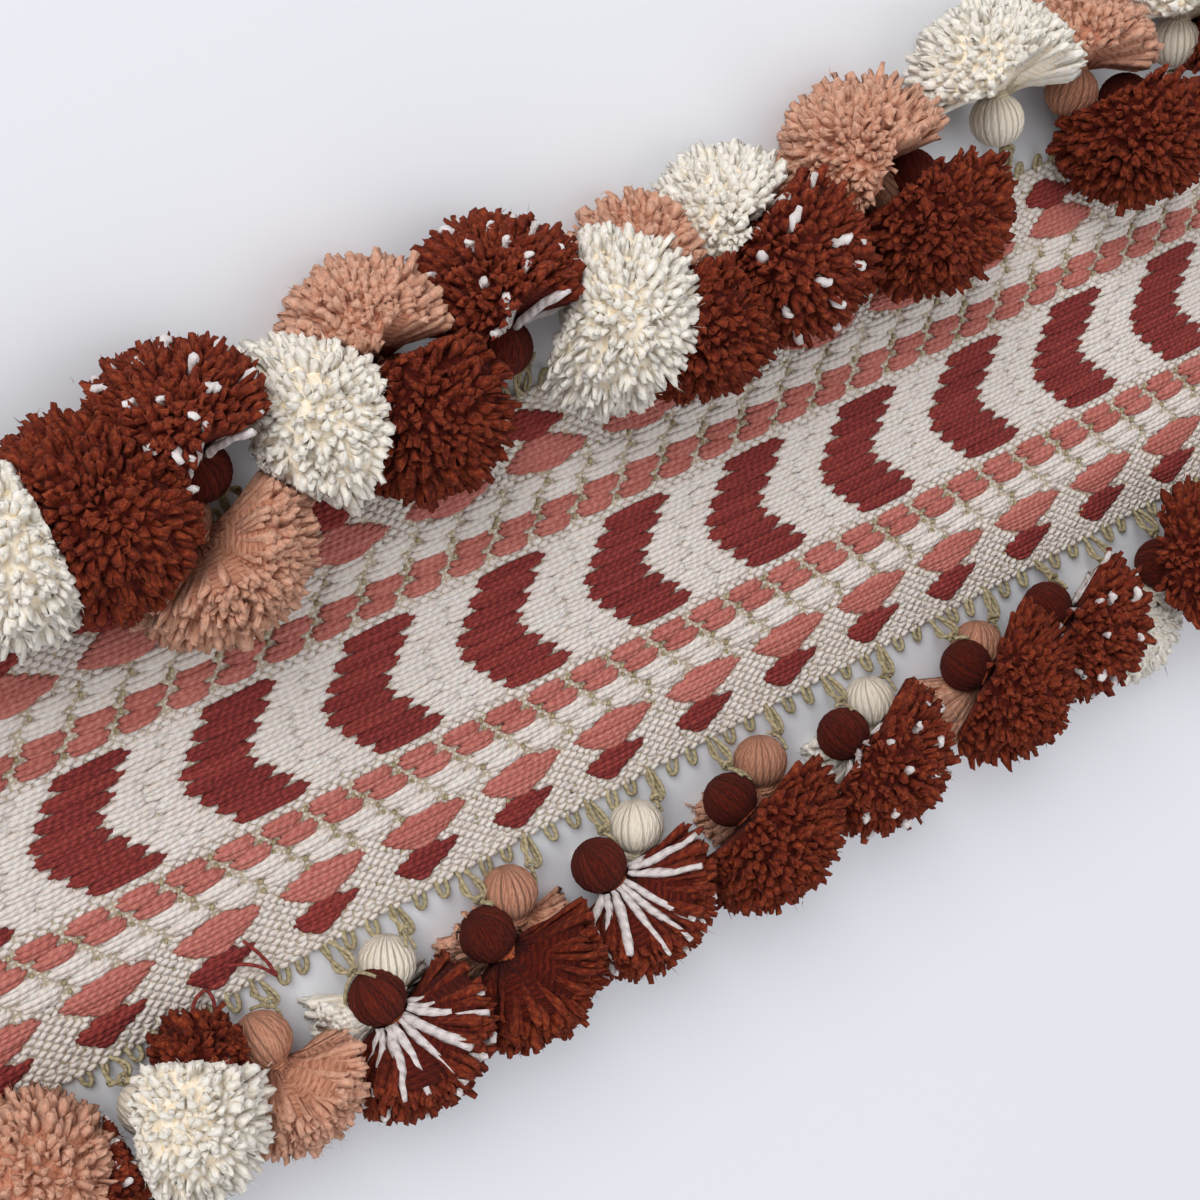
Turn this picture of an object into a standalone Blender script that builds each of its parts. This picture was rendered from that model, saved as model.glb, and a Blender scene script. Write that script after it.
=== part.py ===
"""Pompom fringe trim: a jacquard-woven cotton band, a looped edge braid down each side of it,
and a tassel hung from every long loop of the braid: a ball head, a tied waist and a skirt
of cut yarn trimmed to a half pompom.

Metres, Z up. The band lies on its back along X, face up. The dimensions and the tables below
are taken from the middle of the band's underside, and the finished pieces are moved together
at the end so that the middle of their whole footprint is the origin.
"""

import math
import random

import bmesh
import bpy
from mathutils import Vector

MM = 0.001

# Driving dimensions, in millimetres
BAND_LENGTH = 322.0
BAND_WIDTH = 76.2
PITCH = 13.865          # from one tassel to the next along an edge
FIRST = {-1: -150.0, 1: -155.0}   # X of the first tassel's loop, front edge and back edge

CLEAR = 0.3             # air between two pieces
BRAID_WIDTH = 1.2       # foot of the edge braid, across the band
BRAID_HEIGHT = 1.5
PICOT_REACH = 1.4       # how far a small loop stands out from the foot
PICOT_HALF = 1.1        # half of a small loop's width where it leaves the foot
PICOT_TIP = 0.7         # its thickness at the tip, as a part of the foot's
THREAD = 1.0            # the plied thread of a long loop
LEG_SPREAD = 1.35       # from a long loop's middle to each of its legs
LEG_HALF = 0.55         # half of a leg's width at the foot
LOOP_ARCH = 0.8         # rise of a long loop's middle
LOOP_GIRTH = 2.2        # what a long loop takes up on each side of its middle line

BALL = 5.0              # radius of a tassel's head
KNOT_LIFT = 5.0         # the loop is tied on top of the ball, on the side of the band
KNOT_GAP = 1.1          # from the ball's surface to the middle of the loop's end
BALL_RINGS = (125.0, 75.0)        # angles from the skirt's axis of the ball's two rings
NECK = 2.2              # radius of the tied waist
WAIST = 4.7             # from the ball's middle to the waist
SIDES = 9               # sides of a tassel's turned shape
HEART = 0.45            # a skirt's middle, as a part of its radius from the waist
LOCKS = 4               # tufts that stand out of one skirt
LOCK_LENGTH = 3.2
LOCK_INSET = 1.9        # from the edge of a skirt's face to the root of its tuft
LOCK_TIP = 0.6          # width of a tuft's tip, as a part of its root's
LOCK_AIR = 1.5          # free room past the tip of a tuft
LOCK_FACE = 32.0        # smallest face that carries a tuft, in square millimetres
WAIST_ROOM = 2.5        # least distance from a waist to where two skirts meet
DOME_ANGLE = 84.0       # widest strand of a skirt, from its axis, in degrees
# Each ring of a skirt: its angle from the axis, and its reach as a part of the radius
SKIRT_RINGS = ((DOME_ANGLE, 0.55), (DOME_ANGLE - 6.0, 1.0), (50.0, 1.0), (24.0, 1.0))
LUMPS = 0.07            # unevenness of the trimmed surface
CLOTH_MARGIN = 1.0      # beyond the small loops, where a skirt may come down to the floor
NEIGHBOURS = 4          # tassels on each side that can touch one tassel

BRAID_INNER = BAND_WIDTH / 2 + CLEAR
BRAID_OUTER = BRAID_INNER + BRAID_WIDTH
BAND_TOP = 2.2          # highest rib of the band's face

# Half of the band's face across its width: distance from the middle, height of the cloth.
# The bead row is the highest rib, the leaf rows make a broad low one.
FACE = [
    (0.0, 1.8), (11.0, 1.8), (12.0, 1.6), (13.0, BAND_TOP), (16.6, BAND_TOP), (17.6, 1.6),
    (20.0, 1.9), (32.0, 1.9), (34.0, 1.5), (BAND_WIDTH / 2, 1.4),
]

YARNS = {
    "cream": (0.86, 0.79, 0.64),
    "peach": (0.58, 0.27, 0.17),
    "rust": (0.17, 0.025, 0.013),
    "fleck": (0.24, 0.07, 0.05),
}

# One row for each tassel, front edge left to right and then back edge left to right:
# yarn, ball's place along and out from its loop and its height, the way the skirt points
# (turn about Z and rise above level, in degrees), and the radius that the skirt is trimmed to.
FRONT_ROWS = [
    ("peach", 2, 9, 6, 20, 45, 15), ("fleck", -1, 9, 5, -60, 66, 12),
    ("cream", -1, 9, 7, -20, 60, 17), ("rust", -4, 9, 5, 66, 45, 11),
    ("peach", -4, 9, 9, -80, 38, 16), ("fleck", 2, 9, 10, -66, 30, 17.5),
    ("cream", -2.5, 9, 5, 225, 14, 13), ("rust", -2.5, 8.5, 10, -81, 30, 17.5),
    ("peach", -6.5, 9, 5, 100, 55, 13), ("fleck", -6, 8.5, 10, -81, 36, 17.5),
    ("cream", -5.5, 9, 5, 158, 12, 14), ("rust", -4.5, 8.5, 10, -70, 34, 17.5),
    ("peach", -5, 9, 5, 190, 14, 12), ("fleck", -4.5, 8.5, 10, -45, 52, 17.5),
    ("cream", -8, 9, 5, 195, 10, 14), ("rust", -1.5, 8.5, 10, -60, 42, 17.5),
    ("peach", -6.5, 9, 5, 225, 14, 13), ("fleck", -6.5, 8.5, 9, -30, 56, 17),
    ("cream", -5, 9, 5, -76, 30, 13), ("rust", -4.5, 9, 9, 10, 63, 16),
    ("peach", -3, 9, 5, -90, 50, 12), ("fleck", -4, 9, 9, -55, 66, 16),
    ("cream", -1, 9, 5, -60, 50, 12),
]
BACK_ROWS = [
    ("rust", 0, 9, 7, 80, 50, 15), ("peach", 0, 9, 8, 85, 30, 14),
    ("fleck", 0, 9, 8, 91, 38, 15), ("cream", -3, 10, 9, 39, 58, 15),
    ("rust", 2, 9, 8, 101, 60, 17.5), ("peach", -1, 7, 7.5, -69, 32, 17.5),
    ("fleck", -6.5, 11.5, 11.5, 104, 6, 17.5), ("cream", -2, 9, 7, 76, 54, 16.5),
    ("peach", 0, 12, 9, 96, 8, 16), ("rust", -3, 9, 8, 180, 53, 17),
    ("fleck", -6.5, 10, 10, 88, 10, 17.5), ("cream", -1, 9, 8, 0, 88, 17.5),
    ("peach", -4, 9, 6, 89, 34, 13), ("rust", -6, 9, 9, -105, 42, 17.5),
    ("cream", -8.5, 10, 8, 135, 14, 15), ("fleck", -10.5, 9, 9, 176, 44, 17.5),
    ("peach", -6, 9, 8, 102, 14, 17), ("rust", -9, 14.5, 12, -114, 24, 17.5),
    ("cream", -6, 13, 10, 84, 14, 17), ("peach", 0, 12, 9, 71, 10, 15),
    ("rust", -4, 9, 11, -118, 40, 17.5), ("cream", 1, 13, 8, 75, 12, 15),
    ("rust", -1, 9, 6, 102, 42, 14),
]


def material(name, colour):
    """A matt cotton or wool finish of one colour."""
    made = bpy.data.materials.new(name)
    made.use_nodes = True
    shader = made.node_tree.nodes["Principled BSDF"]
    shader.inputs["Base Color"].default_value = (*colour, 1.0)
    shader.inputs["Roughness"].default_value = 0.95
    shader.inputs["Metallic"].default_value = 0.0
    made.diffuse_color = (*colour, 1.0)
    return made


def add_object(name, bm, finish, smooth=False):
    """Turn a bmesh in millimetres into a named object in metres."""
    bmesh.ops.scale(bm, vec=(MM, MM, MM), verts=bm.verts)
    bmesh.ops.recalc_face_normals(bm, faces=bm.faces)
    mesh = bpy.data.meshes.new(name)
    bm.to_mesh(mesh)
    bm.free()
    if smooth:
        mesh.shade_smooth()
    mesh.materials.append(finish)
    made = bpy.data.objects.new(name, mesh)
    bpy.context.scene.collection.objects.link(made)
    return made


def build_band(finish):
    """The woven band: one flat cloth with its lengthwise ribs, cut square at both ends."""
    right = [(y, z) for y, z in FACE]
    left = [(-y, z) for y, z in reversed(FACE[1:])]
    outline = left + right + [(BAND_WIDTH / 2, 0.0), (-BAND_WIDTH / 2, 0.0)]
    bm = bmesh.new()
    ring = [bm.verts.new((-BAND_LENGTH / 2, y, z)) for y, z in outline]
    end = bm.faces.new(ring)
    pulled = bmesh.ops.extrude_face_region(bm, geom=[end])
    moved = [g for g in pulled["geom"] if isinstance(g, bmesh.types.BMVert)]
    bmesh.ops.translate(bm, vec=(BAND_LENGTH, 0, 0), verts=moved)
    return add_object("band", bm, finish)


class Tassel:
    """Where one tassel hangs, lies and points, worked out from its row of the table."""

    def __init__(self, side, number, row):
        self.yarn, along, out, lift, turn, rise, self.radius = row
        self.side = side
        self.number = number
        self.root = Vector((FIRST[side] + PITCH * number, side * BRAID_OUTER, BRAID_HEIGHT / 2))
        self.ball = Vector((self.root.x + along, side * (BRAID_OUTER + out), lift))
        turn, rise = math.radians(turn), math.radians(rise)
        self.axis = Vector((
            math.cos(rise) * math.cos(turn), math.cos(rise) * math.sin(turn), math.sin(rise)))
        self.waist = self.ball + self.axis * WAIST
        self.heart = self.waist + self.axis * self.radius * HEART
        pull = (self.root - self.ball + Vector((0, 0, KNOT_LIFT))).normalized()
        self.knot = self.ball + pull * (BALL + KNOT_GAP)
        self.name = "tassel_%s_%02d" % ("front" if side < 0 else "back", number + 1)

    def loop_middle(self):
        """The long loop's own middle, which arches a little and clears the ball."""
        middle = (self.root + self.knot) / 2 + Vector((0, 0, LOOP_ARCH))
        away = middle - self.ball
        clear = BALL + 2 * THREAD
        return self.ball + away.normalized() * max(away.length, clear)


def barriers(tassel, others):
    """Planes that hold a skirt back: its neighbours' skirts, heads and loops press it flat.

    Each plane is a normal and the distance along it that the skirt may reach.
    """
    planes = []
    for other in others:
        away = other.heart - tassel.heart
        apart = away.length
        if other is not tassel and apart < tassel.radius + other.radius:
            normal = away / apart
            share = (apart ** 2 + tassel.radius ** 2 - other.radius ** 2) / (2 * apart)
            meet = normal.dot(tassel.heart) + share
            meet = max(meet, normal.dot(tassel.waist) + WAIST_ROOM)
            meet = min(meet, normal.dot(other.waist) - WAIST_ROOM)
            planes.append((normal, meet - CLEAR / 2))
        middle = other.loop_middle()
        solid = [((other.root + middle) / 2, LOOP_GIRTH), (middle, LOOP_GIRTH),
                 ((middle + other.knot) / 2, LOOP_GIRTH), (other.knot, LOOP_GIRTH)]
        if other is not tassel:
            solid.append((other.ball, BALL))
        for place, size in solid:
            away = place - tassel.waist
            if away.length < tassel.radius + size:
                normal = away.normalized()
                planes.append((normal, normal.dot(place) - size - CLEAR))
    return planes


def reach(tassel, planes, direction, wanted):
    """How far from the waist a strand may run in one direction before something stops it."""
    far = wanted
    for normal, limit in planes:
        along = normal.dot(direction)
        if along > 1e-6:
            room = max(limit - normal.dot(tassel.waist), WAIST_ROOM - CLEAR)
            far = min(far, room / along)
    if direction.z < -1e-6:
        far = min(far, tassel.waist.z / -direction.z)
        tip = tassel.waist + direction * far
        over_cloth = abs(tip.y) < BRAID_OUTER + PICOT_REACH + CLOTH_MARGIN
        if over_cloth and tip.z < BAND_TOP + CLEAR:
            far = min(far, (tassel.waist.z - BAND_TOP - CLEAR) / -direction.z)
    return far


def build_tassel(tassel, others, finish):
    """A ball head, a tied waist and a skirt of cut yarn with a few tufts standing out of it."""
    chance = random.Random(100 * tassel.number + tassel.side)
    planes = barriers(tassel, others)
    side_x = tassel.axis.orthogonal().normalized()
    side_y = tassel.axis.cross(side_x)

    def direction(from_axis, segment):
        spin = 2 * math.pi * segment / SIDES
        across = side_x * math.cos(spin) + side_y * math.sin(spin)
        return tassel.axis * math.cos(from_axis) + across * math.sin(from_axis)

    bm = bmesh.new()
    rings = []
    for angle in BALL_RINGS:
        turn = math.radians(angle)
        rings.append([bm.verts.new(tassel.ball + direction(turn, s) * BALL)
                      for s in range(SIDES)])
    rings.append([bm.verts.new(tassel.waist + direction(math.pi / 2, s) * NECK)
                  for s in range(SIDES)])
    skirt = []
    for angle, part in SKIRT_RINGS:
        ring = []
        for segment in range(SIDES):
            way = direction(math.radians(angle), segment + 0.5 * (len(skirt) % 2))
            wanted = tassel.radius * part * (1 + LUMPS * chance.uniform(-1, 1))
            ring.append(bm.verts.new(
                tassel.waist + way * reach(tassel, planes, way, wanted)))
        skirt.append(ring)
    rings += skirt
    crown = bm.verts.new(tassel.ball - tassel.axis * BALL)
    tip_reach = reach(tassel, planes, tassel.axis, tassel.radius)
    tip = bm.verts.new(tassel.waist + tassel.axis * tip_reach)
    for low, high in zip(rings, rings[1:]):
        for segment in range(SIDES):
            after = (segment + 1) % SIDES
            bm.faces.new((low[segment], low[after], high[after], high[segment]))
    for segment in range(SIDES):
        after = (segment + 1) % SIDES
        bm.faces.new((crown, rings[0][after], rings[0][segment]))
        bm.faces.new((tip, rings[-1][segment], rings[-1][after]))
    bm.normal_update()

    outer = set(skirt[1] + skirt[2] + skirt[3])
    free = []
    for face in bm.faces:
        if len(face.verts) != 4 or not all(v in outer for v in face.verts):
            continue
        way = (face.calc_center_median() - tassel.waist).normalized()
        wanted = tassel.radius + LOCK_LENGTH + LOCK_AIR
        roomy = face.calc_area() > LOCK_FACE
        if roomy and reach(tassel, planes, way, wanted) >= wanted:
            free.append(face)
    chosen = sorted(free, key=lambda face: chance.random())[:LOCKS]
    if chosen:
        bmesh.ops.inset_individual(bm, faces=chosen, thickness=LOCK_INSET)
        pulled = bmesh.ops.extrude_discrete_faces(bm, faces=chosen)
        for face in pulled["faces"]:
            middle = face.calc_center_median()
            way = (middle - tassel.waist).normalized()
            for vert in face.verts:
                vert.co = middle + (vert.co - middle) * LOCK_TIP + way * LOCK_LENGTH
    return add_object(tassel.name, bm, finish, smooth=True)


def braid_stations(tassel):
    """X of each corner of the braid's outer side around one tassel's loop."""
    third = PITCH / 3
    marks = []
    for centre, half in ((-third, PICOT_HALF), (-LEG_SPREAD, LEG_HALF),
                         (LEG_SPREAD, LEG_HALF), (third, PICOT_HALF)):
        marks += [tassel.root.x + centre - half, tassel.root.x + centre + half]
    return marks


def build_long_loop(bm, tassel, legs):
    """Draw a thread out of the first leg's foot, past the ball's knot, and into the second.

    Each section lists its corners from the outside of the bend to the inside.
    """
    run = (tassel.knot - tassel.root).normalized()
    spread = (Vector((1, 0, 0)) - run * run.x).normalized()
    up = spread.cross(run) if spread.cross(run).z > 0 else run.cross(spread)
    half = THREAD / 2

    def section(centre, inward):
        corners = (-inward - up * half, inward - up * half, inward + up * half, -inward + up * half)
        return [bm.verts.new(centre + corner) for corner in corners]

    sections = [
        legs[0],
        section(tassel.loop_middle() - spread * LEG_SPREAD, spread * half),
        section(tassel.knot - spread * (LEG_SPREAD - half), (spread - run) * half),
        section(tassel.knot + spread * (LEG_SPREAD - half), -(spread + run) * half),
        section(tassel.loop_middle() + spread * LEG_SPREAD, -spread * half),
        [legs[1][corner] for corner in (1, 0, 3, 2)],
    ]
    for low, high in zip(sections, sections[1:]):
        for corner in range(4):
            after = (corner + 1) % 4
            bm.faces.new((low[corner], low[after], high[after], high[corner]))


def build_braid(side, tassels, finish):
    """The looped braid of one edge: a narrow foot, two small loops and a long one per tassel."""
    inner, outer = side * BRAID_INNER, side * BRAID_OUTER
    bm = bmesh.new()

    def column(x, y):
        return bm.verts.new((x, y, 0.0)), bm.verts.new((x, y, BRAID_HEIGHT))

    ends = [-BAND_LENGTH / 2, BAND_LENGTH / 2]
    cuts = [t.root.x + PITCH / 2 for t in tassels[:-1]]
    inside = [column(x, inner) for x in [ends[0], *cuts, ends[1]]]
    outside_cuts = [column(x, outer) for x in [ends[0], *cuts, ends[1]]]
    picots = []
    for index, tassel in enumerate(tassels):
        marks = [column(x, outer) for x in braid_stations(tassel)]
        row = [outside_cuts[index], *marks, outside_cuts[index + 1]]
        spans = list(zip(row, row[1:]))
        legs = {}
        for number, (left, right) in enumerate(spans):
            if number in (3, 5):
                legs[number] = [left[0], right[0], right[1], left[1]]
                continue
            face = bm.faces.new((left[0], right[0], right[1], left[1]))
            if number in (1, 7):
                picots.append(face)
        build_long_loop(bm, tassel, (legs[3], legs[5]))
        middle = len(row) // 2
        for level in (0, 1):
            left_in, right_in = inside[index][level], inside[index + 1][level]
            for number, (left, right) in enumerate(spans):
                near = left_in if number < middle else right_in
                bm.faces.new((left[level], right[level], near))
            bm.faces.new((left_in, row[middle][level], right_in))
        bm.faces.new((inside[index][0], inside[index + 1][0],
                      inside[index + 1][1], inside[index][1]))
    for place in (0, -1):
        bm.faces.new((inside[place][0], outside_cuts[place][0],
                      outside_cuts[place][1], inside[place][1]))
    pulled = bmesh.ops.extrude_discrete_faces(bm, faces=picots)
    for face in pulled["faces"]:
        middle = face.calc_center_median()
        for vert in face.verts:
            vert.co.y += side * PICOT_REACH
            vert.co.z = middle.z + (vert.co.z - middle.z) * PICOT_TIP
    return add_object("braid_%s" % ("front" if side < 0 else "back"), bm, finish)


def centre_footprint(pieces):
    """Move every piece by the same step, so that the whole footprint's middle is the origin."""
    corners = [vert.co for piece in pieces for vert in piece.data.vertices]
    step = Vector((0, 0, 0))
    for axis in (0, 1):
        places = [corner[axis] for corner in corners]
        step[axis] = -(min(places) + max(places)) / 2
    for piece in pieces:
        for vert in piece.data.vertices:
            vert.co += step


for old in list(bpy.data.objects):
    bpy.data.objects.remove(old, do_unlink=True)

cotton = material("woven_cotton", (0.62, 0.55, 0.47))
khaki = material("khaki_cotton", (0.30, 0.24, 0.14))
yarns = {name: material(name + "_yarn", colour) for name, colour in YARNS.items()}

made = [build_band(cotton)]
for edge, rows in ((-1, FRONT_ROWS), (1, BACK_ROWS)):
    hung = [Tassel(edge, number, row) for number, row in enumerate(rows)]
    made.append(build_braid(edge, hung, khaki))
    for one in hung:
        near = [other for other in hung if abs(other.number - one.number) <= NEIGHBOURS]
        made.append(build_tassel(one, near, yarns[one.yarn]))
centre_footprint(made)
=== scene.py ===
import math
from types import SimpleNamespace

import bpy
import numpy as np
from mathutils import Matrix, Vector


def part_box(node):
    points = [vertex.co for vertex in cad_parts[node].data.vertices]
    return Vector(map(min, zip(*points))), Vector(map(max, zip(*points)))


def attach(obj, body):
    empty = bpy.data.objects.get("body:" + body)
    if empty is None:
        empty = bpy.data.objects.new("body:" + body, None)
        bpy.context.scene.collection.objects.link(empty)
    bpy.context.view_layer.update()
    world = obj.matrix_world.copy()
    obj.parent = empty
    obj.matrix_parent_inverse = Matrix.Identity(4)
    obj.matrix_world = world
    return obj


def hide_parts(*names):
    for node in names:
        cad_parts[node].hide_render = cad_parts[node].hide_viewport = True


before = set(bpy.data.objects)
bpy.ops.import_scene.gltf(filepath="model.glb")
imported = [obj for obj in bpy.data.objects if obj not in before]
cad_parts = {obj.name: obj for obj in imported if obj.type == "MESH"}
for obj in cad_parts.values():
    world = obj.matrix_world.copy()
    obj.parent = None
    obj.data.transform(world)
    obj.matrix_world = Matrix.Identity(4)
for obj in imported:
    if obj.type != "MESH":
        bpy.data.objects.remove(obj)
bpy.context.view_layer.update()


# The woven ground
# The band is a cotton jacquard cloth, three inches wide, woven in a long strip with firm
# selvedges. Under its pattern lies a close plain weave of ivory warp and khaki weft, which
# lies flat on its back and shows only between the floats. It is cut square at both ends.

MM = 0.001
BAND_WIDTH = 76.2
GROUND_BACK = 0.1       # the cloth's back, above the floor
WARP_ENDS = 84          # ribs of warp across the band
WARP = BAND_WIDTH / WARP_ENDS
GROUND_TOP = 1.0        # the ground's own thickness, under the floats
GROUND_CELLS = (60, 42) # of the ground's mesh, along and across the band

band_low, band_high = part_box("band")
MIDDLE = (Vector(band_low) + Vector(band_high)) / 2 / MM
MIDDLE.z = 0.0
HALF_LENGTH = (band_high[0] - band_low[0]) / 2 / MM
chance = np.random.default_rng(7)


def linear(colour):
    """An sRGB hex value as the linear colour that a shader takes."""
    parts = [int(colour[place:place + 2], 16) / 255 for place in (1, 3, 5)]
    return tuple(c / 12.92 if c <= 0.04045 else ((c + 0.055) / 1.055) ** 2.4 for c in parts) + (1,)


def add_node(tree, kind, settings, inputs):
    """Add one node: its own settings, and its inputs, each a value or the socket to link."""
    node = tree.nodes.new(kind)
    for name, value in settings.items():
        setattr(node, name, value)
    for name, value in inputs.items():
        if isinstance(value, bpy.types.NodeSocket):
            tree.links.new(value, node.inputs[name])
        else:
            node.inputs[name].default_value = value
    return node


def blend_colours(tree, factor, colours):
    """A colour ramp from hex values at even steps, driven by a factor socket."""
    ramp = add_node(tree, "ShaderNodeValToRGB", {}, {"Fac": factor})
    stops = ramp.color_ramp.elements
    while len(stops) < len(colours):
        stops.new(0.5)
    for place, colour in enumerate(colours):
        stops[place].position = place / (len(colours) - 1)
        stops[place].color = linear(colour)
    return ramp.outputs["Color"]


def new_material(name):
    made = bpy.data.materials.new(name)
    made.use_nodes = True
    return made


def spun_yarn(name, colours, lay, ply, grain, spread, sheen, crumb=0.0, deep=0.0, soft=0.0):
    """A spun and plied yarn: matt and fibrous, with the slanted marks of its two plies.

    colours run from a painted shade between fibres to the lit fibre. lay is one turn of the plies,
    ply and grain the relief of plies and fibres, all in millimetres. spread is how far one
    yarn's tone strays from the next's, crumb is the relief of a brushed surface with painted
    shade on its lumps, deep is painted shade that darkens the yarn towards the packed waist as
    its depth attribute falls, and soft is the share of the light that goes through its outer
    fibres.
    """
    made = new_material(name)
    tree = made.node_tree
    about = add_node(tree, "ShaderNodeAttribute", {"attribute_name": "about"}, {})
    own = add_node(tree, "ShaderNodeAttribute", {"attribute_name": "own"}, {})
    shade_depth = add_node(tree, "ShaderNodeAttribute", {"attribute_name": "shade_depth"}, {})
    far = add_node(tree, "ShaderNodeMath", {"operation": "MULTIPLY"}, {
        0: own.outputs["Fac"], 1: 91.0})
    place = add_node(tree, "ShaderNodeVectorMath", {"operation": "MULTIPLY_ADD"}, {
        0: about.outputs["Vector"], 1: (0.9, 0.9, 0.55), 2: far.outputs[0]})
    hairs = add_node(tree, "ShaderNodeTexNoise", {}, {
        "Vector": place.outputs["Vector"], "Scale": 2.6, "Detail": 5.0, "Roughness": 0.72})
    where = add_node(tree, "ShaderNodeTexCoord", {}, {})
    lumps = add_node(tree, "ShaderNodeTexNoise", {}, {
        "Vector": where.outputs["Object"], "Scale": 1 / (1.3 * MM), "Detail": 5.0,
        "Roughness": 0.78})
    split = add_node(tree, "ShaderNodeSeparateXYZ", {}, {"Vector": about.outputs["Vector"]})
    angle = add_node(tree, "ShaderNodeMath", {"operation": "ARCTAN2"}, {
        0: split.outputs["Y"], 1: split.outputs["X"]})
    twice = add_node(tree, "ShaderNodeMath", {"operation": "MULTIPLY_ADD"}, {
        0: angle.outputs[0], 1: 2.0, 2: far.outputs[0]})
    turned = add_node(tree, "ShaderNodeMath", {"operation": "MULTIPLY_ADD"}, {
        0: split.outputs["Z"], 1: -4 * math.pi / lay, 2: twice.outputs[0]})
    wave = add_node(tree, "ShaderNodeMath", {"operation": "SINE"}, {0: turned.outputs[0]})
    # Painted shade: the colour darkens as the depth attribute falls towards the packed waist, and
    # on the brushed lumps
    shade = add_node(tree, "ShaderNodeMath", {"operation": "MULTIPLY_ADD"}, {
        0: hairs.outputs["Fac"], 1: 1.5, 2: -0.25 - spread - crumb - 0.75 * deep})
    for source, share in ((wave.outputs[0], 0.09), (own.outputs["Fac"], 2 * spread),
                          (lumps.outputs["Fac"], 2 * crumb), (shade_depth.outputs["Fac"], deep)):
        shade = add_node(tree, "ShaderNodeMath", {"operation": "MULTIPLY_ADD"}, {
            0: source, 1: share, 2: shade.outputs[0]})
    height = add_node(tree, "ShaderNodeMath", {"operation": "MULTIPLY"}, {
        0: wave.outputs[0], 1: ply * MM / 2})
    for source, share in ((hairs.outputs["Fac"], grain), (lumps.outputs["Fac"], 2 * crumb)):
        height = add_node(tree, "ShaderNodeMath", {"operation": "MULTIPLY_ADD"}, {
            0: source, 1: share * MM, 2: height.outputs[0]})
    relief = add_node(tree, "ShaderNodeBump", {}, {
        "Height": height.outputs[0], "Strength": 1.0, "Distance": 1.0})
    shader = tree.nodes["Principled BSDF"]
    colour = blend_colours(tree, shade.outputs[0], colours)
    tree.links.new(colour, shader.inputs["Base Color"])
    tree.links.new(relief.outputs["Normal"], shader.inputs["Normal"])
    shader.inputs["Roughness"].default_value = 0.92
    shader.inputs["Specular IOR Level"].default_value = 0.2
    shader.inputs["Sheen Weight"].default_value = sheen
    shader.inputs["Sheen Roughness"].default_value = 0.45
    shader.inputs["Subsurface Weight"].default_value = soft
    shader.inputs["Subsurface Radius"].default_value = (1.0, 0.6, 0.4)
    shader.inputs["Subsurface Scale"].default_value = 0.9 * MM
    return made


def add_piece(name, points, faces, materials, which=None, facts=None):
    """A smooth-shaded mesh from points in millimetres, on the trim's one body.

    faces is a list of integer arrays, one for each number of corners; which gives each
    face's material, and facts gives a value or vector for each point, by name.
    """
    mesh = bpy.data.meshes.new(name)
    mesh.vertices.add(len(points))
    mesh.vertices.foreach_set("co", ((np.asarray(points, float) + np.array(MIDDLE)) * MM).ravel())
    corners = np.concatenate([group.ravel() for group in faces]).astype(np.int32)
    sizes = np.concatenate([np.full(len(group), group.shape[1]) for group in faces])
    mesh.loops.add(len(corners))
    mesh.loops.foreach_set("vertex_index", corners)
    mesh.polygons.add(len(sizes))
    starts = np.concatenate([[0], np.cumsum(sizes)[:-1]]).astype(np.int32)
    mesh.polygons.foreach_set("loop_start", starts)
    for material in materials:
        mesh.materials.append(material)
    if which is not None:
        mesh.polygons.foreach_set("material_index", np.asarray(which, np.int32))
    mesh.update(calc_edges=True)
    for label, values in (facts or {}).items():
        kind, key = ("FLOAT_VECTOR", "vector") if values.ndim == 2 else ("FLOAT", "value")
        mesh.attributes.new(label, kind, "POINT").data.foreach_set(
            key, values.astype(np.float32).ravel())
    mesh.shade_smooth()
    piece = bpy.data.objects.new(name, mesh)
    bpy.context.scene.collection.objects.link(piece)
    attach(piece, "root")
    return piece


def plain_weave(name):
    """Close plain weave: matt ivory, with the weft's darker khaki in the hollows between
    the warp ribs, so a gap in the pattern never looks like a hole."""
    made = new_material(name)
    tree = made.node_tree
    where = add_node(tree, "ShaderNodeTexCoord", {}, {}).outputs["Object"]
    rib = add_node(tree, "ShaderNodeTexWave", {"bands_direction": "Y"}, {
        "Vector": where, "Scale": 0.314 / (WARP * MM)})
    pick = add_node(tree, "ShaderNodeTexWave", {"bands_direction": "X"}, {
        "Vector": where, "Scale": 0.314 / (1.1 * MM), "Distortion": 1.0})
    both = add_node(tree, "ShaderNodeMath", {"operation": "MULTIPLY"}, {
        0: rib.outputs["Fac"], 1: pick.outputs["Fac"]})
    colour = blend_colours(tree, both.outputs[0], ("#b5a68f", "#d6cbbd", "#e6ddd3"))
    relief = add_node(tree, "ShaderNodeBump", {}, {
        "Height": both.outputs[0], "Strength": 1.0, "Distance": 0.2 * MM})
    shader = tree.nodes["Principled BSDF"]
    tree.links.new(colour, shader.inputs["Base Color"])
    tree.links.new(relief.outputs["Normal"], shader.inputs["Normal"])
    shader.inputs["Roughness"].default_value = 0.92
    shader.inputs["Specular IOR Level"].default_value = 0.2
    return made


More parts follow.
